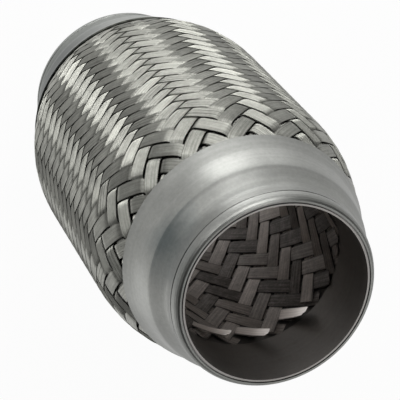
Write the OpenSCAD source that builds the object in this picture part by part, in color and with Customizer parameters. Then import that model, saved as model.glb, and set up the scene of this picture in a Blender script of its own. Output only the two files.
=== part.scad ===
// Exhaust flex pipe: two formed end caps, two inner sleeves, a bellows and two tubular braids.
// It stands on its rear end on z = 0 and its axis is +Z. Units are millimetres.

/* [Overall] */
// Length from mouth to mouth
length = 145.6; // [138:0.2:170]
// Bore of the sleeves, which slips over the pipe
bore_d = 51; // [49:0.5:53]

/* [Sleeves] */
// Wall of a sleeve
sleeve_wall = 0.5; // [0.4:0.05:0.8]
// Length of a sleeve
sleeve_length = 20; // [16:0.5:24]

/* [End caps] */
// Wall of the neck
neck_wall = 1.8; // [1.5:0.1:2.2]
// Length of the neck
neck_length = 7.2; // [6:0.2:8]
// Wall of the shoulder and cone
cap_wall = 1.2; // [1:0.1:1.4]
// Length of a cap from the mouth to its lip
cap_length = 25.2; // [24:0.2:27]
// Outside diameter at the lip
lip_d = 69.4; // [68.6:0.2:70]
// Wall at the lip, where the flare thins out
lip_wall = 0.5; // [0.4:0.1:0.7]
// Distance of the scribed line from the mouth
line_place = 3.5; // [3:0.1:4]

/* [Bellows] */
// Wall of the bellows
ply = 0.3; // [0.2:0.05:0.4]
// Number of convolutions
convolutions = 10; // [7:1:11]
// How far the cuffs stand back from the mouths
cuff_back = 0.4; // [0.3:0.1:0.6]

/* [Outer braid] */
// Outside diameter in the middle
braid_d = 78; // [77:0.5:80]
// Bands in each direction
outer_bands = 32; // [28:4:32]
// Half rows of the weave from the middle to each end
outer_rows = 20; // [18:2:20]
// Depth of the weave
outer_relief = 0.85; // [0.6:0.05:0.9]

/* [Inner braid] */
// Bands in each direction
inner_bands = 24; // [20:4:28]
// Half rows of the weave from the middle to each end
inner_rows = 12; // [10:2:14]
// Depth of the weave
inner_relief = 0.45; // [0.3:0.05:0.5]

/* [Hidden] */
$fn = 96;

// Clearances between pieces
slip = 0.05;
seat = 0.25;
inner_seat = 0.3;

// Radii from the bore outward
bore_r = bore_d / 2;
sleeve_r = bore_r + sleeve_wall;
cuff_in = sleeve_r + slip;
cuff_r = cuff_in + ply;
neck_in = cuff_r + slip;
neck_r = neck_in + neck_wall;
lip_r = lip_d / 2;
braid_r = braid_d / 2;

// Cap profile as [distance from the mouth, radius]
rim_step = 1.36;
rim_r = neck_r - rim_step;
shoulder_run = 6.2;
shoulder_rise = 3;
lip_run = 3.7;
cone_end_s = cap_length - lip_run;
shoulder_s = neck_length + shoulder_run;
shoulder_r = neck_r + shoulder_rise;
cone_end_r = shoulder_r + (lip_r - shoulder_r) * 0.49;
line_half = 0.28;
line_depth = 0.25;

// Cap inside, a straight run between these places
neck_in_s = neck_length + 0.4;
cap_in = [
    [0, neck_in],
    [neck_in_s, neck_in],
    [neck_in_s + 0.6, neck_r - cap_wall + 0.35],
    [shoulder_s, shoulder_r - cap_wall],
    [cone_end_s, cone_end_r - cap_wall],
    [cap_length, lip_r - lip_wall]
];

// Outer braid wall
outer_wall = 1.3;
collar_s = 9.4;
weave_lap = 4.7;
swell_run = 22;
open_rows = 7;
open_step = 0.044;
outer_turn = -81.56;
outer_gap_rows = 3;

// Inner braid wall
inner_wall = 0.85;
inner_turn = 27.75;
inner_gap_rows = 5;
inner_r = cuff_in - inner_seat;

// Share of a weave cell that a gap takes
gap = 0.25;
// Where the ridge of a band ends in its cell
ridge_end = 0.3;

// Bellows crests stay inside the outer braid
crest_r = braid_r - outer_wall - 0.5;
first_crest = cap_length + swell_run - 5;
pitch = (length - 2 * first_crest) / (convolutions - 1);
turn = pitch / 4;

// Quadratic curve that rounds the corner b between a and c
function rounded(a, b, c, n) = [
    for (i = [0 : n])
        let (t = i / n)
        a * (1 - t) * (1 - t) + b * 2 * t * (1 - t) + c * t * t
];

// Point on the straight run from a to b at the distance d from a
function along(a, b, d) = a + (b - a) * d / norm(b - a);

// Cap outside from the mouth to the lip
function cap_outside() =
    let (
        neck_p = [neck_length, neck_r],
        shoulder_p = [shoulder_s, shoulder_r],
        cone_p = [cone_end_s, cone_end_r],
        lip_p = [cap_length, lip_r],
        line_p = [line_place + line_half, neck_r]
    )
    concat(
        rounded([0, rim_r], [0.9, neck_r - 0.05], [line_place - line_half, neck_r], 5),
        [[line_place, neck_r - line_depth], line_p],
        rounded(along(neck_p, line_p, 1.2), neck_p, along(neck_p, shoulder_p, 1.8), 4),
        rounded(along(shoulder_p, neck_p, 1.5), shoulder_p, along(shoulder_p, cone_p, 1.8), 4),
        rounded(along(cone_p, shoulder_p, 2), cone_p, lip_p, 4)
    );

// Closed cap section as [radius, distance from the mouth]
function cap_section() =
    let (path = concat(cap_outside(), [for (i = [len(cap_in) - 1 : -1 : 0]) cap_in[i]]))
    [for (p = path) [p[1], p[0]]];

// Bellows side as [radius, z]: top is the radius at the crest, root the radius at the root
function bellows_side(top, root) = concat(
    [[cuff_in + (turn + ply / 2) - root, cuff_back]],
    [
        for (i = [0 : convolutions - 1], q = [0 : 3], s = [0 : 3])
            let (
                z = first_crest + i * pitch,
                root_c = cuff_in + turn + ply / 2,
                top_c = crest_r - turn - ply / 2,
                t = s * 30
            )
            q == 0 ? [root_c - root * cos(t), z - 2 * turn + root * sin(t)] :
            q == 1 ? [top_c + top * sin(t), z - top * cos(t)] :
            q == 2 ? [top_c + top * cos(t), z + top * sin(t)] :
            [root_c - root * sin(t), z + 2 * turn - root * cos(t)]
    ],
    [[cuff_in + (turn + ply / 2) - root, length - cuff_back]]
);

// Points that repeat their neighbour taken out
function thinned(p) = [for (i = [0 : len(p) - 1]) if (i == 0 || norm(p[i] - p[i - 1]) > 0.001) p[i]];

// Weave number w: 0 is the outer braid, 1 is the inner braid
function bands(w) = w == 0 ? outer_bands : inner_bands;
function rows(w) = w == 0 ? outer_rows : inner_rows;
function start_turn(w) = w == 0 ? outer_turn : inner_turn;
function weave_end(w) =
    w == 0 ? length / 2 - cap_length + weave_lap : length / 2 - sleeve_length - inner_seat;

// Height above the middle of the pipe of row k: the outer rows open toward the caps
function opened(k) = k + sign(k) * open_step * pow(max(0, abs(k) - rows(0) + open_rows), 2);
function row_z(w, k) =
    w == 0 ? weave_end(0) * opened(k) / opened(rows(0)) : weave_end(1) * k / rows(1);

// Radius of the outer braid's ridges at the height h from the middle
function swell(h) =
    let (
        s = length / 2 - abs(h),
        t = min(1, max(0, (s - cap_length) / swell_run)),
        start = lookup(cap_length, cap_in) - seat
    )
    s < cap_length ? lookup(s, cap_in) - seat : braid_r - (braid_r - start) * (1 - t) * (1 - t);

// Radii of ridge, groove and plain side at row k
function ridge_r(w, k) = w == 0 ? swell(row_z(0, k)) : inner_r - inner_wall;
function groove_r(w, k) = w == 0 ? ridge_r(0, k) - outer_relief : ridge_r(1, k) + inner_relief;
function plain_r(w, k) = w == 0 ? ridge_r(0, k) - outer_wall : inner_r;
function side_r(w, k, side) = side == 2 ? ridge_r(w, k) : side == 1 ? groove_r(w, k) : plain_r(w, k);

// Point at column m and row k of a weave, on the side 2 ridge, 1 groove or 0 plain
function spot(w, m, z, r) =
    let (turns = 2 * bands(w), mm = m - turns * floor(m / turns), a = start_turn(w) + mm * 360 / turns)
    [r * cos(a), r * sin(a), length / 2 + z];
function cell(w, q, side) =
    let (k = q[1] - q[0])
    spot(w, q[0] + q[1], row_z(w, k), side_r(w, k, side));

// Gaps are the corners beside the lines where the bands point down, in the open rows
function gap_top(w) = rows(w) - 2;
function gap_low(w) = gap_top(w) - (w == 0 ? outer_gap_rows : inner_gap_rows) + 1;
function column(q) = (q[0] + q[1]) - 4 * floor((q[0] + q[1]) / 4);
function is_gap(w, q) =
    let (k = abs(q[1] - q[0]), c = column(q))
    k >= gap_low(w) && k <= gap_top(w) && (c == 0 || c == 3);

// A float is a band where it lies on top: [lean, a, b, cells]
function floats(w) = [
    for (c = [0 : bands(w) / 2 - 1], k = [1 - rows(w) : 2 : rows(w) - 1], lean = [0, 1])
        let (
            m = 4 * c + 2 * lean,
            cut = lean == 0 ? k == rows(w) - 1 : k == 1 - rows(w)
        )
        [lean, (m - k) / 2, (m + k) / 2, cut ? 1 : 2]
];

// Place in the weave of the spot x across and y along a float
function place(f, x, y) = f[0] == 0 ? [f[1] + x, f[2] + y] : [f[1] + y, f[2] - x];

// Edge of a float as [x, y], where a gap cuts its corner
function edge(w, f) =
    let (
        ring = f[3] == 2
            ? [[0.5, -0.5], [0.5, 0.5], [0.5, 1.5], [-0.5, 1.5], [-0.5, 0.5], [-0.5, -0.5]]
            : [[0.5, -0.5], [0.5, 0.5], [-0.5, 0.5], [-0.5, -0.5]],
        n = len(ring)
    )
    [
        for (i = [0 : n - 1])
            let (
                p = ring[i],
                cut = is_gap(w, place(f, p[0], p[1])),
                before = p + gap * (ring[(i + n - 1) % n] - p),
                after = p + gap * (ring[(i + 1) % n] - p)
            )
            for (q = cut ? [before, after] : [p]) q
    ];

// Ridged side of a float: its edge drawn up to the two ends of the ridge
function ridged(w, f) =
    let (
        ring = edge(w, f),
        n = len(ring),
        half = (f[3] - 1) / 2,
        low = cell(w, place(f, 0, ridge_end - 0.5), 2),
        high = cell(w, place(f, 0, f[3] - 0.5 - ridge_end), 2)
    )
    [
        for (i = [0 : n - 1])
            let (
                p = ring[i],
                q = ring[(i + 1) % n],
                a = cell(w, place(f, p[0], p[1]), 1),
                b = cell(w, place(f, q[0], q[1]), 1),
                ta = p[1] <= half ? low : high,
                tb = q[1] <= half ? low : high
            )
            for (t = ta == tb ? [[a, b, ta]] : [[a, b, ta], [b, tb, ta]]) t
    ];

// Plain side of a float: its two long edges laced together
function laced(l, r, i, j) =
    i == len(l) - 1 && j == len(r) - 1 ? [] :
    j < len(r) - 1 && (i == len(l) - 1 || r[j + 1][1] <= l[i + 1][1])
        ? concat([[l[i], r[j], r[j + 1]]], laced(l, r, i, j + 1))
        : concat([[l[i], r[j], l[i + 1]]], laced(l, r, i + 1, j));
function plain(w, f) =
    let (
        ring = edge(w, f),
        n = len(ring),
        right = [for (p = ring) if (p[0] > 0) p],
        left = [for (i = [n - 1 : -1 : 0]) if (ring[i][0] < 0) ring[i]]
    )
    [for (t = laced(left, right, 0, 0)) [for (i = [2, 1, 0]) cell(w, place(f, t[i][0], t[i][1]), 0)]];

// Walls of the gaps
function gap_walls(w) = [
    for (sgn = [-1, 1], k0 = [gap_low(w) : gap_top(w)], c = [0 : bands(w) / 2 - 1])
        let (
            k = sgn * k0,
            m = 4 * c + (k0 % 2 == 0 ? 0 : 3),
            q = [(m - k) / 2, (m + k) / 2],
            ring = k0 % 2 == 0 ? [[0, -gap], [0, gap], [-gap, 0]] : [[gap, 0], [0, gap], [-gap, 0]]
        )
        for (i = [0 : 2])
            let (
                a = cell(w, q + ring[i], 1),
                b = cell(w, q + ring[(i + 1) % 3], 1),
                c2 = cell(w, q + ring[(i + 1) % 3], 0),
                d = cell(w, q + ring[i], 0)
            )
            for (t = [[a, b, c2], [a, c2, d]]) t
];

// Band of wall from the ring p to the ring q, each [height, radius]
function hoop(w, p, q) = [
    for (m = [0 : 2 : 2 * bands(w) - 2])
        let (
            a = spot(w, m, p[0], p[1]),
            b = spot(w, m + 2, p[0], p[1]),
            c = spot(w, m + 2, q[0], q[1]),
            d = spot(w, m, q[0], q[1])
        )
        for (t = [[a, b, c], [a, c, d]]) t
];

// Rings that close the ends of a weave, from the last row to the cut end and back inside
function end_rings(w) =
    let (
        k = rows(w),
        z = row_z(w, k),
        shoulder_z = length / 2 - shoulder_s,
        collar_z = length / 2 - collar_s
    )
    w == 0 ? [
        [z, groove_r(0, k)],
        [shoulder_z, lookup(shoulder_s, cap_in) - seat],
        [collar_z, lookup(collar_s, cap_in) - seat],
        [collar_z, cuff_r + inner_seat],
        [shoulder_z, lookup(shoulder_s, cap_in) - seat - 1],
        [z, plain_r(0, k)]
    ] : [[z, groove_r(1, k)], [z, plain_r(1, k)]];
function end_wall(w) =
    let (rings = end_rings(w))
    [
        for (i = [0 : len(rings) - 2])
            let (p = rings[i], q = rings[i + 1])
            for (t = concat(hoop(w, p, q), hoop(w, [-q[0], q[1]], [-p[0], p[1]]))) t
    ];

// Half cells of the last rows
function end_cells(w) = [
    for (m = [1 : 2 : 2 * bands(w) - 1], sgn = [-1, 1], side = [0, 1])
        let (
            k = sgn * rows(w),
            z = row_z(w, k),
            r = side_r(w, k, side),
            inward = k - sgn,
            a = spot(w, m - 1, z, r),
            b = spot(w, m + 1, z, r),
            c = spot(w, m, row_z(w, inward), side_r(w, inward, side))
        )
        (sgn == 1) == (side == 1) ? [b, a, c] : [a, b, c]
];

// All triangles of a weave
function weave(w) = concat(
    [for (f = floats(w)) for (t = ridged(w, f)) t],
    [for (f = floats(w)) for (t = plain(w, f)) t],
    gap_walls(w),
    end_wall(w),
    end_cells(w)
);

module woven(w) {
    tris = weave(w);
    polyhedron(
        points = [for (t = tris) for (p = t) p],
        faces = [
            for (i = [0 : len(tris) - 1])
                w == 0 ? [3 * i + 2, 3 * i + 1, 3 * i] : [3 * i, 3 * i + 1, 3 * i + 2]
        ]
    );
}

module cap() {
    rotate_extrude() polygon(cap_section());
}

module sleeve() {
    difference() {
        cylinder(r = sleeve_r, h = sleeve_length);
        translate([0, 0, -1])
            cylinder(r = bore_r, h = sleeve_length + 2);
    }
}

module front_cap() {
    color("silver")
        translate([0, 0, length])
            mirror([0, 0, 1])
                cap();
}

module rear_cap() {
    color("silver")
        cap();
}

module front_sleeve() {
    color("gray")
        translate([0, 0, length - sleeve_length])
            sleeve();
}

module rear_sleeve() {
    color("gray")
        sleeve();
}

module bellows() {
    outside = bellows_side(turn + ply / 2, turn - ply / 2);
    inside = bellows_side(turn - ply / 2, turn + ply / 2);
    color("dimgray")
        rotate_extrude()
            polygon(thinned(concat(outside, [for (i = [len(inside) - 1 : -1 : 0]) inside[i]])));
}

module outer_braid() {
    color("lightgray")
        woven(0);
}

module inner_braid() {
    color("darkgray")
        woven(1);
}

front_cap();
rear_cap();
front_sleeve();
rear_sleeve();
bellows();
outer_braid();
inner_braid();
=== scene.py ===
import math
import random

import bpy
import numpy as np
from mathutils import Matrix, Vector


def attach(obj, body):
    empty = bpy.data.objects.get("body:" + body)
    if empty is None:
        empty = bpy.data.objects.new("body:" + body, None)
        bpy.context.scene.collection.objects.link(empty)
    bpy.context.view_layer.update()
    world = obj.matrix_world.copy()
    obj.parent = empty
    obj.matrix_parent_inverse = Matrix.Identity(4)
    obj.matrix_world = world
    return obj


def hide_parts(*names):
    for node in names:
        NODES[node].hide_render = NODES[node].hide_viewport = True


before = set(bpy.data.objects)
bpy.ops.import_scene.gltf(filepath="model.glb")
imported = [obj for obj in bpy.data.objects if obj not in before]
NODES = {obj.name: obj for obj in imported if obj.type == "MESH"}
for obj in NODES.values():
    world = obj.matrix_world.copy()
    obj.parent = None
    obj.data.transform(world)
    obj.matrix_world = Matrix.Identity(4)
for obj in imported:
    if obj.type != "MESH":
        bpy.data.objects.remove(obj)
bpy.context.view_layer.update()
MM = 0.001

# Sizes repeated from the part's source, in millimetres, degrees and counts
LENGTH = 145.6
CAP_LENGTH = 25.2
NECK_LENGTH = 7.2
SHOULDER_RUN = 6.2
LINE_PLACE = 3.5
SLEEVE_LENGTH = 20
BRAID_R = 39.0
INNER_R = 25.75
SEAT = 0.25
INNER_SEAT = 0.3
SWELL_RUN = 22.0
WEAVE_LAP = 4.7
OPEN_ROWS = 7
OPEN_STEP = 0.044
OUTER_BANDS = 32
OUTER_ROWS = 20
OUTER_TURN = -81.56
INNER_BANDS = 24
INNER_ROWS = 12
INNER_TURN = 27.75
# Inside of a cap: distances from its mouth, and the radius at each
CAP_IN = ([0, 7.6, 8.2, 13.4, 21.5, 25.2], [26.4, 26.4, 27.35, 30.0, 31.715, 34.2])

# Places that follow from them; the ends of the two weaves are counted from the middle
NECK_FOOT = LENGTH - NECK_LENGTH
SHOULDER_EDGE = NECK_FOOT - SHOULDER_RUN
OUTER_END = LENGTH / 2 - CAP_LENGTH + WEAVE_LAP
INNER_END = LENGTH / 2 - SLEEVE_LENGTH - INNER_SEAT

# All bands: rows of points in a cell of the weave, the rise of a band's middle, and which edges are sharp
CELL_STEPS = 7
CROWN = 0.06
SHARP_ANGLE = 35
# Places across a band, as parts of its width; a split band has two grooves, darkened with painted shade
PLAIN_ACROSS = (-0.5, -0.3, 0, 0.3, 0.5)
SPLIT_ACROSS = (-0.5, -0.34, -0.2, -0.17, -0.14, 0, 0.14, 0.17, 0.2, 0.34, 0.5)
SPLIT_BANDS = ((27, 10), (12, 4, 21))
GROOVE_AT = 0.17
GROOVE_DEPTH = 0.12
GROOVE_SHADE = 1.5

# Outer bands: the most of its cell that a band fills, and how much narrower it runs below the others
OUTER_WIDTH = 4.1
OUTER_VARIES = (0.94, 1.0)
OUTER_FILL = 0.99
OUTER_NARROWS = 0.05
OUTER_THICK = 0.2
# How sharply a band dips, how far either way, and how far the highest lies under the solid's ridge
OUTER_BEND = 4.2
OUTER_LIFT = 0.5
OUTER_SUNK = 0.2
# Slits: the most that a band draws in, how far before a length's middle this starts and how fast it grows
SLIT = 0.34
SLIT_START = 0.3
SLIT_GROWTH = 2.3
# The slits fade to a least share toward the ends of the weave, where the bands stand apart anyway
SLIT_END_ROWS = 4
SLIT_FADE_ROWS = 5
SLIT_LEAST = 0.15

# Inner bands, with values of the same kinds; the last two are how far inside the wall's radius the tops lie
# on average, and how far inside it the slope is reckoned
INNER_WIDTH = 4.5
INNER_VARIES = (0.94, 1.06)
INNER_FILL = 0.98
INNER_THICK = 0.26
INNER_BEND = 1.6
INNER_LIFT = 0.22
INNER_SUNK = 0.45
INNER_MID = 0.4
# Rows above the weave's end where a band is cut, at the rear and the mouth, and how far a corner stands out
REAR_CUTS = (-0.05, 0.25)
MOUTH_CUTS = (-0.25, 0.12)
CORNER_REACH = 0.6
# Bands that are cut shorter at the mouth, and by how many rows
SHORT_ENDS = range(6, 12)
SHORT_ROWS = 0.7
# Cut ends that spring off the wall: how far, and how far one edge more than the other
LIFTED_ENDS = {18: (4.0, 0.5), 20: (2.7, 0.0), 22: (2.0, -1.0)}
# Rows and millimetres that they reach past the weave, how far below its end they start to rise, and the run
LIFTED_ROWS = 0.45
LIFTED_REACH = 2.4
LIFTED_START = 11
LIFTED_RUN = 13
# They taper, and their tone grows to a bright one: a painted highlight, and also a smoother, rubbed length
LIFTED_TAPER = 0.2
LIFTED_TONE = 0.6
LIFTED_HIGHLIGHT = 1.4


def opened(k):
    """Rows with the wider spacing that the outer weave has toward its ends."""
    return k + np.sign(k) * OPEN_STEP * np.maximum(0, np.abs(k) - OUTER_ROWS + OPEN_ROWS) ** 2


def outer_z(k):
    return OUTER_END * opened(k) / opened(float(OUTER_ROWS))


def inner_z(k):
    return INNER_END * k / INNER_ROWS


def outer_r(z):
    """Radius of the outer weave, under a cap and along the swell."""
    s = LENGTH / 2 - np.abs(z)
    t = np.clip((s - CAP_LENGTH) / SWELL_RUN, 0, 1)
    start = CAP_IN[1][-1] - SEAT
    return np.where(s < CAP_LENGTH, np.interp(s, *CAP_IN) - SEAT, BRAID_R - (BRAID_R - start) * (1 - t) ** 2)


def crimp(lean, i, along, bend):
    """From 1 where a band lies on top of two others to -1 where it lies under the next two.

    The second value runs from -1 to 1 along each of these lengths.
    """
    start = -i - 1 if lean == 0 else 1 - i
    wave = np.sin((along - start) * math.pi / 2)
    return np.tanh(bend * wave) / math.tanh(bend), np.mod(along - start, 2) - 1


def lattice(lean, along, across):
    """The two coordinates of the weave for the points of a band."""
    along = np.repeat(along[:, None], across.shape[1], 1)
    return (across, along) if lean == 0 else (along, across)


def band_spacing(rise, run):
    """Distance from a band to the next one beside it."""
    return 2 * rise * np.cos(np.arctan2(rise, run))


def travel(z, ks, run):
    """Length of a band up to each of its rows."""
    steps = np.hypot(np.diff(z), np.diff(ks) * (run[1:] + run[:-1]) / 2)
    return np.concatenate([[0], np.cumsum(steps)])


def row_skew(lean, share, rise, run):
    """How far along a band its row of points runs from one edge to the other."""
    return (1 if lean == 0 else -1) * share * (run ** 2 - rise ** 2) / np.hypot(run, rise)


def new_object(name, data):
    obj = bpy.data.objects.new(name, data)
    bpy.context.scene.collection.objects.link(obj)
    return obj


def build_mesh(name, verts, faces, uvs, painted_shade):
    mesh = bpy.data.meshes.new(name)
    mesh.from_pydata(verts, [], faces)
    mesh.update()
    for p in mesh.polygons:
        p.use_smooth = True
    layer = mesh.uv_layers.new(name="band")
    loop_v = np.zeros(len(mesh.loops), np.int64)
    mesh.loops.foreach_get("vertex_index", loop_v)
    layer.data.foreach_set("uv", np.asarray(uvs, np.float32)[loop_v].ravel())
    att = mesh.attributes.new("tone", "FLOAT", "POINT")
    att.data.foreach_set("value", np.asarray(painted_shade, np.float32))
    mesh.set_sharp_from_angle(angle=math.radians(SHARP_ANGLE))
    return mesh


def ribbon(angle, z, r_top, r_low, x, dist, skew, shade, turned, out):
    """Adds one band to out. The arrays are [along, across]; r_low is the far face at the same places.

    A row of points lies along the crossing bands, so skew brings the second texture coordinate square to the
    first. A turned band has its rows the other way round, and with flip in out its faces too.
    """
    order = slice(None, None, -1) if turned else slice(None)
    angle, z, r_top, r_low, shade = (v[:, order] for v in (angle, z, r_top, r_low, shade))
    lateral = (x + 0.5)[order]
    n, c = angle.shape
    base = len(out["v"])
    rings = []
    for r, cols in ((r_top, range(c)), (r_low, (c - 1, 0))):
        for j in cols:
            rings.append((angle[:, j], z[:, j], r[:, j], lateral[j], shade[:, j]))
    count = len(rings)
    a = np.stack([q[0] for q in rings], 1)
    zz = np.stack([q[1] for q in rings], 1)
    rr = np.stack([q[2] for q in rings], 1)
    pts = np.stack([rr * np.cos(a), rr * np.sin(a), zz + LENGTH / 2], 2).reshape(-1, 3) * MM
    out["v"].extend(map(tuple, pts))
    u = np.tile(np.array([q[3] for q in rings]), (n, 1))
    v = dist[:, None] + (u - 0.5) * skew[:, None]
    out["uv"].extend(np.stack([u, v], 2).reshape(-1, 2))
    out["t"].extend(np.stack([q[4] for q in rings], 1).ravel())
    flip = out["flip"]
    for i in range(n - 1):
        p = base + i * count
        for j in range(count):
            k = (j + 1) % count
            f = (p + j, p + k, p + count + k, p + count + j)
            out["f"].append(f[::-1] if flip else f)
    first = tuple(base + j for j in range(count))
    last = tuple(base + (n - 1) * count + j for j in range(count))
    out["f"].append(first if flip else first[::-1])
    out["f"].append(last[::-1] if flip else last)


def outer_band(lean, i, rng, out):
    """One flat band of the outer braid. lean 0 climbs to the right seen from outside, lean 1 to the left."""
    ks = np.linspace(-OUTER_ROWS, OUTER_ROWS, OUTER_ROWS * 2 * CELL_STEPS + 1)
    width = OUTER_WIDTH * rng.uniform(*OUTER_VARIES)
    split = i in SPLIT_BANDS[lean]
    x = np.array(SPLIT_ACROSS if split else PLAIN_ACROSS)
    groove = np.isclose(np.abs(x), GROOVE_AT) if split else np.zeros(len(x))
    centre = i + 0.5
    # along runs in cells of the crossing bands; a band climbs by one row for each of them
    along = centre + ks if lean == 0 else centre - ks
    z0 = outer_z(ks)
    rise = np.gradient(z0, ks)
    run = outer_r(z0) * math.pi / OUTER_BANDS
    c, place = (v[:, None] for v in crimp(lean, i, along, OUTER_BEND))
    share = np.minimum(width / band_spacing(rise, run), OUTER_FILL) * (1 - OUTER_NARROWS * (1 - c[:, 0]))
    # Toward its lower end, a length on top draws in at its lower edge and leaves a wedge-shaped slit
    lower = 1 if lean == 0 else -1
    toward = np.where(c >= 0, -lower, lower) * place
    closed = np.clip((OUTER_ROWS - SLIT_END_ROWS - np.abs(ks)) / SLIT_FADE_ROWS, SLIT_LEAST, 1)
    grown = np.clip((toward + SLIT_START) / (1 + SLIT_START), 0, 1) ** SLIT_GROWTH
    drawn = SLIT * closed[:, None] * grown
    across = centre + share[:, None] * (x[None, :] - lower * drawn * (0.5 + lower * x[None, :]))
    a, b = lattice(lean, along, across)
    angle = math.radians(OUTER_TURN) + (a + b) * math.pi / OUTER_BANDS
    z = outer_z(b - a)
    ridge = outer_r(z)
    crown = CROWN * (1 - (2 * x[None, :]) ** 2) - GROOVE_DEPTH * groove[None, :]
    # Where it lies on top or under, a band is straight rather than bent round the axis
    straight = ridge * (1 / np.cos(place * math.pi / OUTER_BANDS) - 1)
    top = ridge - OUTER_SUNK - OUTER_LIFT + OUTER_LIFT * c + crown + straight
    low = top - OUTER_THICK - crown
    # A band's own random tone, less painted shade in its grooves
    shade = np.tile(rng.random() - GROOVE_SHADE * groove, (len(ks), 1))
    skew = row_skew(lean, share, rise, run)
    ribbon(angle, z, top, low, x, travel(z0, ks, run), skew, shade, lean == 0, out)


def inner_band(lean, i, rng, out):
    """One flat band of the inner braid; the side that faces the axis is its top."""
    start = -INNER_ROWS + rng.uniform(*REAR_CUTS)
    stop = INNER_ROWS + rng.uniform(*MOUTH_CUTS)
    # A few cut ends at the mouth reach past the others, taper and spring off the wall
    lifted = lean == 0 and i in LIFTED_ENDS
    if lifted:
        stop = INNER_ROWS + LIFTED_ROWS
    if lean == 1 and i in SHORT_ENDS:
        stop = stop - SHORT_ROWS
    n = INNER_ROWS * 2 * CELL_STEPS + 1
    ks = np.linspace(start, stop, n)
    width = INNER_WIDTH * rng.uniform(*INNER_VARIES)
    x = np.array(PLAIN_ACROSS)
    centre = i + 0.5
    along = centre + ks if lean == 0 else centre - ks
    z0 = inner_z(ks)
    rise = np.gradient(z0, ks)
    run = np.full(n, (INNER_R - INNER_MID) * math.pi / INNER_BANDS)
    near_end = np.clip((z0 - INNER_END + LIFTED_START) / LIFTED_RUN, 0, 1) * lifted
    share = np.minimum(width / band_spacing(rise, run), INNER_FILL) * (1 - LIFTED_TAPER * near_end ** 2)
    spring, twist = LIFTED_ENDS[i] if lifted else (0, 0)
    off_wall = near_end[:, None] ** 2 * (spring + twist * x[None, :])
    a, b = lattice(lean, along, centre + share[:, None] * x[None, :])
    angle = math.radians(INNER_TURN) + (a + b) * math.pi / INNER_BANDS
    reach = LIFTED_REACH if lifted else CORNER_REACH
    z = np.clip(inner_z(b - a), -INNER_END - CORNER_REACH, INNER_END + reach)
    c = crimp(lean, i, along, INNER_BEND)[0][:, None]
    crown = CROWN * (1 - (2 * x[None, :]) ** 2)
    top = INNER_R - INNER_SUNK - INNER_LIFT * c - crown - off_wall
    low = top + INNER_THICK + crown
    # A lifted end has a fixed tone that grows toward its tip as a painted highlight; other bands have a
    # random tone
    tone = (LIFTED_TONE if lifted else rng.random()) + LIFTED_HIGHLIGHT * near_end
    shade = np.repeat(tone[:, None], len(x), 1)
    skew = row_skew(lean, share, rise, run)
    ribbon(angle, z, top, low, x, travel(z0, ks, run), skew, shade, lean == 1, out)


def weave(name, lean, band, count, rng):
    """All bands of one lean, as one piece."""
    out = {"v": [], "f": [], "uv": [], "t": [], "flip": lean == 1}
    for i in range(count):
        band(lean, i, rng, out)
    mesh = build_mesh(name, out["v"], out["f"], out["uv"], out["t"])
    return new_object(name, mesh)


class Nodes:
    """Small helper to build a node material."""

    def __init__(self, name):
        self.mat = bpy.data.materials.new(name)
        self.mat.use_nodes = True
        self.tree = self.mat.node_tree
        self.bsdf = self.tree.nodes["Principled BSDF"]

    def add(self, kind, **props):
        n = self.tree.nodes.new(kind)
        for k, v in props.items():
            if k in n.inputs:
                n.inputs[k].default_value = v
            else:
                setattr(n, k, v)
        return n

    def link(self, a, b):
        self.tree.links.new(a, b)

    def calc(self, operation, *values, **props):
        """A Math node; each value is an output of another node or a number."""
        n = self.add("ShaderNodeMath", operation=operation, **props)
        for socket, value in zip(n.inputs, values):
            if isinstance(value, bpy.types.NodeSocket):
                self.link(value, socket)
            else:
                socket.default_value = value
        return n.outputs[0]

    def mean(self, *parts):
        """Mean of values, each with its weight"""
        whole = sum(weight for _, weight in parts)
        total = 0.0
        for value, weight in parts:
            total = self.calc("MULTIPLY_ADD", value, weight / whole, total)
        return total

    def ramp(self, source, stops):
        n = self.add("ShaderNodeValToRGB")
        els = n.color_ramp.elements
        els[0].position, els[0].color = stops[0]
        els[1].position, els[1].color = stops[-1]
        for pos, col in stops[1:-1]:
            els.new(pos).color = col
        self.link(source, n.inputs["Fac"])
        return n.outputs["Color"]

    def noise(self, vector, scale, detail=3.0, rough=0.6):
        n = self.add("ShaderNodeTexNoise", Scale=scale, Detail=detail, Roughness=rough)
        self.link(vector, n.inputs["Vector"])
        return n.outputs["Fac"]

    def mapped(self, vector, scale):
        n = self.add("ShaderNodeMapping", Scale=scale)
        self.link(vector, n.inputs["Vector"])
        return n.outputs["Vector"]

    def parts(self, vector):
        n = self.add("ShaderNodeSeparateXYZ")
        self.link(vector, n.inputs[0])
        return n.outputs

    def times(self, a, b):
        """Two colours multiplied; a Mix node takes colours in sockets 6 and 7 and gives one in socket 2."""
        n = self.add("ShaderNodeMix", data_type="RGBA", blend_type="MULTIPLY")
        n.inputs[0].default_value = 1.0
        self.link(a, n.inputs[6])
        self.link(b, n.inputs[7])
        return n.outputs[2]

    def bump(self, height, strength, distance):
        n = self.add("ShaderNodeBump", Strength=strength, Distance=distance)
        self.link(height, n.inputs["Height"])
        self.link(n.outputs["Normal"], self.bsdf.inputs["Normal"])


def grey(v, warm=0.0, green=0.0):
    return (v * (1 + warm), v * (1 + green), v * (1 - warm), 1)


# Part of a mean of noises that the tones of a metal spread over, and the same for the lines of a band
NOISE_FROM, NOISE_TO = 0.3, 0.7
LINES_FROM, LINES_TO = 0.35, 0.65
# Edge of a band darkened with painted shade, as a part of its width, and how much smoother a rubbed length
# is
EDGE_WIDTH = 0.07
RUBBED = 0.35
# Darker line along the groove round a cap: half its width, in millimetres, and its tone
GROOVE_LINE_HALF = 0.2
GROOVE_LINE_TONE = 0.45
# Parts of its reach where a dark patch of painted shade, partly where the front cap is stained, starts to
# fade and where it is gone; below the edge that it mostly stops at, it counts as the last part of its reach
# further off
PATCH_FULL = 0.55
PATCH_GONE = 1.5
PATCH_PAST = 0.45


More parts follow.
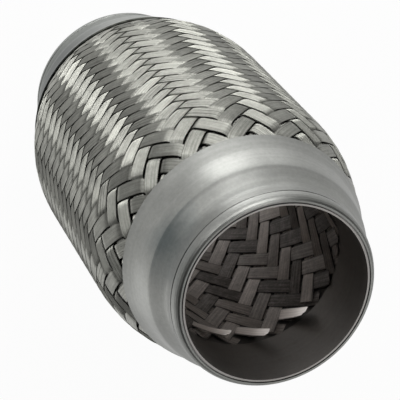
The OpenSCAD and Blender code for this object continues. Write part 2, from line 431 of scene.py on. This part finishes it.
def band_metal(name, dark, light, rough, aniso, tint, spread, edge, streak):
    """Rolled steel band with fine lines along it and edges darkened with painted shade.

    spread is how far the bands differ, edge how dark the painted shade at the edges is and streak how strong
    the lines are.
    """
    m = Nodes(name)
    uv = m.add("ShaderNodeUVMap", uv_map="band").outputs["UV"]
    lines = m.noise(m.mapped(uv, (16, 0.05, 1)), scale=1.0, detail=2.0)
    wear = m.noise(m.mapped(uv, (1.5, 0.25, 1)), scale=1.0)
    tone = m.add("ShaderNodeAttribute", attribute_name="tone").outputs["Fac"]
    grain = m.noise(m.add("ShaderNodeTexCoord").outputs["Object"], scale=1400.0, detail=2.0)
    mix = m.mean((lines, 0.6), (wear, 0.7), (grain, 0.5), (tone, spread))
    col = m.ramp(mix, [(NOISE_FROM, grey(dark, *tint)), (NOISE_TO, grey(light, *tint))])
    # Painted shade: the edges of a band darker, for the shadow in the slits between bands
    edges = m.ramp(m.parts(uv)["X"], [
        (0.0, grey(edge)), (EDGE_WIDTH, grey(1.0)), (1 - EDGE_WIDTH, grey(1.0)), (1.0, grey(edge)),
    ])
    streaks = m.ramp(lines, [(LINES_FROM, grey(1 - streak)), (LINES_TO, grey(1 + streak))])
    m.link(m.times(m.times(col, edges), streaks), m.bsdf.inputs["Base Color"])
    m.bsdf.inputs["Metallic"].default_value = 1.0
    # A tone over 1 stands for a rubbed, smoother length; the brighter colour that it also gives is a painted
    # highlight
    bright = m.calc("SUBTRACT", tone, 1.0, use_clamp=True)
    m.link(m.calc("MULTIPLY_ADD", bright, -RUBBED, rough), m.bsdf.inputs["Roughness"])
    m.bsdf.inputs["Anisotropic"].default_value = aniso
    tangent = m.add("ShaderNodeTangent", direction_type="UV_MAP", uv_map="band")
    m.link(tangent.outputs["Tangent"], m.bsdf.inputs["Tangent"])
    m.bump(lines, strength=0.25, distance=0.0002)
    return m.mat


def stained_and_shaded(m, col, pos, height, place, reach, ragged, stain_and_shade, stop):
    """The colour with a soft dark patch over it: painted shade, on the front cap partly where it is stained.
    """
    away = m.add("ShaderNodeVectorMath", operation="SUBTRACT")
    m.link(pos, away.inputs[0])
    away.inputs[1].default_value = [v * MM for v in place]
    size = m.add("ShaderNodeVectorMath", operation="LENGTH")
    m.link(away.outputs[0], size.inputs[0])
    far = m.calc("MULTIPLY_ADD", m.noise(pos, scale=140.0), ragged * MM, size.outputs["Value"])
    below = m.calc("LESS_THAN", height, stop * MM)
    far = m.calc("MULTIPLY_ADD", below, PATCH_PAST * reach * MM, far)
    spot = m.ramp(far, [(PATCH_FULL * reach * MM, stain_and_shade), (PATCH_GONE * reach * MM, grey(1.0))])
    return m.times(col, spot)


def sheet_metal(name, dark, light, rough, tint, line=None, painted_shade=None, stain_and_shade=None):
    """Formed steel with soft mottling and fine turning lines round the axis.

    line is the height of a groove that is drawn darker, painted_shade is heights with the tone that painted
    shade gives the metal there, and stain_and_shade is a place, its reach, how ragged it is, a colour and
    the height of the edge that it mostly stops at, for a dark patch of painted shade that on the front cap
    is partly where it is stained.
    """
    m = Nodes(name)
    pos = m.add("ShaderNodeTexCoord").outputs["Object"]
    cloud = m.noise(pos, scale=45.0, detail=4.0)
    rings = m.noise(m.mapped(pos, (6, 6, 900)), scale=1.0, detail=2.0, rough=0.5)
    grain = m.noise(pos, scale=1100.0, detail=2.0)
    mix = m.mean((cloud, 1.0), (rings, 0.4), (grain, 0.4))
    col = m.ramp(mix, [(NOISE_FROM, grey(dark, *tint)), (NOISE_TO, grey(light, *tint))])
    height = m.parts(pos)["Z"]
    if line:
        # The groove round a cap is drawn as a darker line in the colour
        groove = m.calc("COMPARE", height, line * MM, GROOVE_LINE_HALF * MM)
        col = m.times(col, m.ramp(groove, [(0.0, grey(1.0)), (1.0, grey(GROOVE_LINE_TONE))]))
    # Painted shade by height: parts of the metal darker where the light falls less on them
    if painted_shade:
        share = m.calc("DIVIDE", height, LENGTH * MM)
        col = m.times(col, m.ramp(share, [(z / LENGTH, grey(v)) for z, v in painted_shade]))
    # A dark patch: painted shade, and on the front cap partly where it is stained
    if stain_and_shade:
        col = stained_and_shaded(m, col, pos, height, *stain_and_shade)
    m.link(col, m.bsdf.inputs["Base Color"])
    m.bsdf.inputs["Metallic"].default_value = 1.0
    m.bsdf.inputs["Roughness"].default_value = rough
    m.bump(mix, strength=0.12, distance=0.0003)
    return m.mat


def put(obj, mat):
    obj.data.materials.clear()
    obj.data.materials.append(mat)


# Metals
braid_metal = band_metal(
    "braid steel", dark=0.21, light=0.49, rough=0.55, aniso=1.0, tint=(0.045, 0.05),
    spread=0.4, edge=0.7, streak=0.16,
)
liner_metal = band_metal(
    "liner steel", dark=0.2, light=0.8, rough=0.65, aniso=0.6, tint=(0.065, -0.01),
    spread=1.0, edge=0.3, streak=0.1,
)
# Dark patch on the front cap's side, partly where it is stained and partly painted shade: place, reach,
# raggedness, colour and the edge that it stops at
CAP_STAIN_AND_SHADE = ((14.5, -27.4, 133.5), 13.0, 11.7, (0.54, 0.6, 0.63, 1), SHOULDER_EDGE)
# Painted shade: heights on the front cap and its tone there, the shoulder and the neck darker than the cone
CAP_PAINTED_SHADE = (
    (SHOULDER_EDGE - 0.4, 1.0), (SHOULDER_EDGE + 0.2, 0.8),
    (NECK_FOOT - 1.5, 0.98), (NECK_FOOT, 0.82), (LENGTH, 0.86),
)
cap_metal = sheet_metal(
    "cap steel", dark=0.17, light=0.3, rough=0.42, tint=(0.02, 0.035),
    line=LENGTH - LINE_PLACE, painted_shade=CAP_PAINTED_SHADE, stain_and_shade=CAP_STAIN_AND_SHADE,
)
# Dark patch of painted shade on the rear cap's visible side: place, reach, raggedness, colour and the edge
# that it stops at
REAR_PAINTED_SHADE = ((13.0, -28.2, 19.0), 18.0, 4.0, (0.2, 0.215, 0.215, 1), 0.0)
rear_metal = sheet_metal(
    "rear cap steel", dark=0.23, light=0.42, rough=0.42, tint=(0.01, 0.045),
    line=LINE_PLACE, stain_and_shade=REAR_PAINTED_SHADE,
)
sleeve_metal = sheet_metal("sleeve steel", dark=0.24, light=0.36, rough=0.45, tint=(0.045, 0.0))
bellows_metal = sheet_metal("bellows steel", dark=0.16, light=0.24, rough=0.5, tint=(0.03, 0.0))

# Pieces
rng = random.Random(5682)
for lean, name in ((0, "outer_braid_right"), (1, "outer_braid_left")):
    o = weave(name, lean, outer_band, OUTER_BANDS, rng)
    put(o, braid_metal)
    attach(o, "root")
    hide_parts("outer_braid")
for lean, name in ((0, "inner_braid_right"), (1, "inner_braid_left")):
    o = weave(name, lean, inner_band, INNER_BANDS, rng)
    put(o, liner_metal)
    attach(o, "root")
    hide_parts("inner_braid")
for node, mat in (
    ("front_cap", cap_metal), ("rear_cap", rear_metal), ("front_sleeve", sleeve_metal),
    ("rear_sleeve", sleeve_metal), ("bellows", bellows_metal),
):
    put(NODES[node], mat)

# Stage, in metres
FLOOR_HALF = 4
FLOOR_Z = -0.0003
FLOOR_DULL = (0.92, 0.92, 0.91, 1)
FLOOR_CLEAN = (0.95, 0.95, 0.94, 1)
FLOOR_WHITE = 0.96


def floor_paint():
    """Pale matt floor. The camera and mirror rays see it part way to white; its shadow stays."""
    m = Nodes("floor")
    m.bsdf.inputs["Roughness"].default_value = 0.9
    m.bsdf.inputs["Specular IOR Level"].default_value = 0.1
    cloud = m.noise(m.add("ShaderNodeTexCoord").outputs["Object"], scale=3.0, rough=0.55)
    m.link(m.ramp(cloud, [(0.0, FLOOR_DULL), (1.0, FLOOR_CLEAN)]), m.bsdf.inputs["Base Color"])
    white = m.add("ShaderNodeEmission", Strength=1.0)
    path = m.add("ShaderNodeLightPath")
    seen = path.outputs["Is Camera Ray"]
    for kind in ("Is Glossy Ray", "Is Transmission Ray"):
        seen = m.calc("MAXIMUM", seen, path.outputs[kind])
    blend = m.add("ShaderNodeMixShader")
    m.link(m.calc("MULTIPLY", seen, FLOOR_WHITE), blend.inputs["Fac"])
    m.link(m.bsdf.outputs[0], blend.inputs[1])
    m.link(white.outputs[0], blend.inputs[2])
    m.link(blend.outputs[0], m.tree.nodes["Material Output"].inputs["Surface"])
    return m.mat


floor_mesh = bpy.data.meshes.new("floor")
corners = [(x * FLOOR_HALF, y * FLOOR_HALF, FLOOR_Z) for x, y in ((-1, -1), (1, -1), (1, 1), (-1, 1))]
floor_mesh.from_pydata(corners, [], [(0, 1, 2, 3)])
floor = new_object("floor", floor_mesh)
put(floor, floor_paint())

# Camera as fitted to the photo; its place is counted from the mouth, in radii of the rim
RIM_R = 26.84 * MM
MOUTH = Vector((0, 0, LENGTH * MM))
CAMERA_PLACE = MOUTH + Vector((0.030, -10.479, 14.916)) * RIM_R
CAMERA_RIGHT = Vector((-0.7885, 0.5252, 0.3200))
CAMERA_UP = Vector((-0.6150, -0.6733, -0.4103))
cam = bpy.data.cameras.new("camera")
cam.sensor_width = 36
cam.lens = 168.66
cam.clip_end = 20
cam_obj = new_object("camera", cam)
back = CAMERA_RIGHT.cross(CAMERA_UP).normalized()
up = back.cross(CAMERA_RIGHT).normalized()
right = up.cross(back).normalized()
axes = Matrix((right, up, back)).transposed().to_4x4()
cam_obj.matrix_world = Matrix.Translation(CAMERA_PLACE) @ axes
bpy.context.scene.camera = cam_obj


def area(name, where, target, size, energy):
    lamp = bpy.data.lights.new(name, "AREA")
    lamp.shape = "RECTANGLE"
    lamp.size, lamp.size_y = size
    lamp.energy = energy
    o = new_object(name, lamp)
    o.location = where
    o.rotation_euler = (Vector(target) - Vector(where)).to_track_quat("-Z", "Y").to_euler()


# Lamps, in metres and watts; the cards lie just over the floor and shine upward
area("main", where=(-0.225, -0.39, 0.22), target=(0, 0, 0.1), size=(0.32, 0.18), energy=1.3)
area("card", where=(-0.095, -0.165, 0.008), target=(-0.095, -0.165, 1), size=(0.12, 0.12), energy=0.23)
area("right card", where=(-0.165, -0.095, 0.008), target=(-0.165, -0.095, 1), size=(0.12, 0.12), energy=0.06)
area("left card", where=(0.19, 0.0, 0.008), target=(0.19, 0.0, 1), size=(0.12, 0.12), energy=0.035)
area("high", where=(-0.345, -0.289, 0.4), target=(0, 0, 0.1), size=(0.16, 0.22), energy=0.12)
area("front", where=(0.078, -0.443, 0.2), target=(0, 0, 0.1), size=(0.16, 0.18), energy=0.32)
area("mouth", where=(-0.45, -0.536, 0.9), target=(0, 0, 0.14), size=(0.3, 0.3), energy=1.6)
area("back", where=(0.0, 0.6, 1.0), target=(0, 0, 0.14), size=(0.5, 0.4), energy=1.6)

world = bpy.data.worlds.new("world")
bpy.context.scene.world = world
world.use_nodes = True
sky = world.node_tree.nodes["Background"]
sky.inputs["Color"].default_value = (1, 1, 1, 1)
sky.inputs["Strength"].default_value = 0.1

bpy.context.scene.view_settings.view_transform = "Standard"
